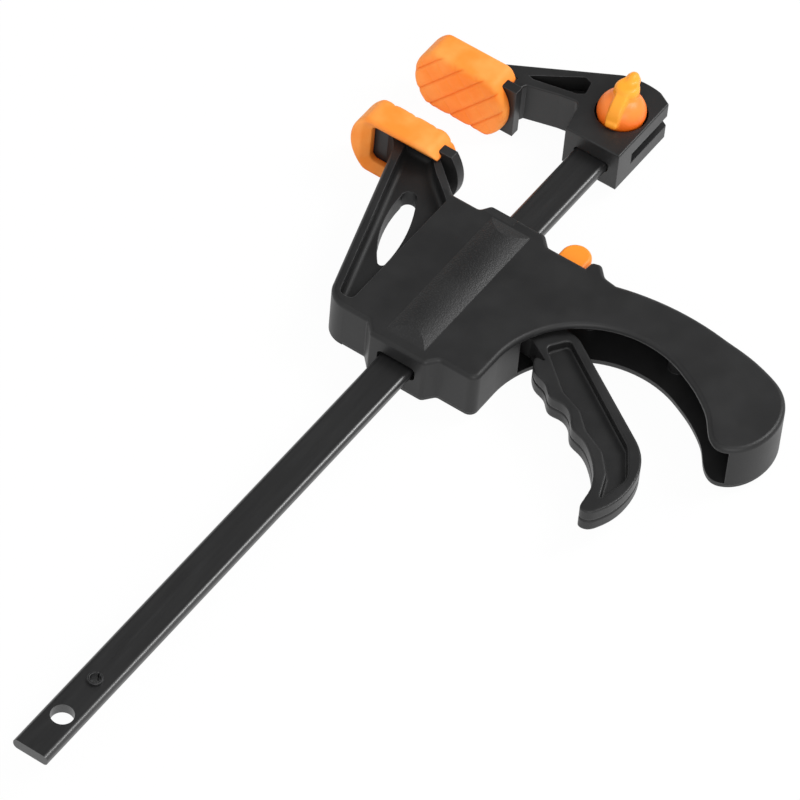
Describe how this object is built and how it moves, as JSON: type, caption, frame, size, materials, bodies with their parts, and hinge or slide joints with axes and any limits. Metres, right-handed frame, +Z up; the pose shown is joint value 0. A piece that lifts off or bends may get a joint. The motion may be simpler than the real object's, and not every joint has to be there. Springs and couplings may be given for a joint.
{
  "type": "quick release bar clamp",
  "caption": "One-handed bar clamp: trigger-driven sliding jaw with brake release button, fixed jaw held by a wing knob, soft slip-on pads, flat steel bar with hang hole.",
  "frame": {"origin": "middle of the hang hole, at mid thickness of the bar", "axes": "+X along the bar from the hang hole to the fixed jaw, +Y from the bar to the jaw pads, +Z up through the bar to the knob side"},
  "size_m": [0.3959, 0.2135, 0.0384],
  "materials": {
    "black_steel": "black baked coating, satin",
    "black_plastic": "matte moulded glass-filled nylon",
    "orange_rubber": "soft satin thermoplastic rubber",
    "orange_plastic": "satin moulded plastic",
    "plated_steel": "bright zinc plate",
    "raw_steel": "stamped, lightly oiled",
    "spring_steel": "drawn spring wire"
  },
  "bodies": {
    "bar_assembly": {"bar": "black_steel", "stop_pin": "black_steel", "fixed_jaw": "black_plastic", "fixed_jaw_pad": "orange_rubber", "jaw_nut": "plated_steel", "knob_washer": "plated_steel"},
    "clamp_knob": {"knob": "orange_plastic", "knob_screw": "plated_steel"},
    "clamp_body": {"main_body": "black_plastic", "back_cover": "black_plastic", "cover_screws": "plated_steel", "moving_jaw_pad": "orange_rubber", "trigger_pivot_pin": "plated_steel", "drive_spring": "spring_steel", "brake_spring": "spring_steel"},
    "trigger_lever": {"trigger": "black_plastic"},
    "drive_plates": {"drive_plate_front": "raw_steel", "drive_plate_rear": "raw_steel"},
    "brake": {"brake_lever": "raw_steel", "release_button": "orange_plastic"}
  },
  "joints": [
    {"name": "body_slide", "type": "slide", "parent": "bar_assembly", "child": "clamp_body", "axis": [1, 0, 0], "range_m": [-0.1838, 0.0287]},
    {"name": "trigger_squeeze", "type": "hinge", "parent": "clamp_body", "child": "trigger_lever", "pos_m": [0.252, -0.021, 0], "axis": [0, 0, 1], "range_deg": [0, 25], "stiffness_Nm_per_rad": 0.6, "springref_deg": -11.46},
    {"name": "drive_plate_slide", "type": "slide", "parent": "clamp_body", "child": "drive_plates", "axis": [1, 0, 0], "range_m": [-0.00385, 0], "deforming": ["drive_spring"]},
    {"name": "brake_release", "type": "hinge", "parent": "clamp_body", "child": "brake", "pos_m": [0.2725, 0.013, 0], "axis": [0, 0, 1], "range_deg": [-4, 0], "stiffness_Nm_per_rad": 2, "springref_deg": 8.59, "deforming": ["brake_spring"]},
    {"name": "knob_turn", "type": "hinge", "parent": "bar_assembly", "child": "clamp_knob", "pos_m": [0.3583, 0, 0], "axis": [0, 0, 1], "range_deg": [0, 360]}
  ],
  "couplings": [
    {"joint": "drive_plate_slide", "follows": "trigger_squeeze", "m_per_rad": -0.0088}
  ]
}
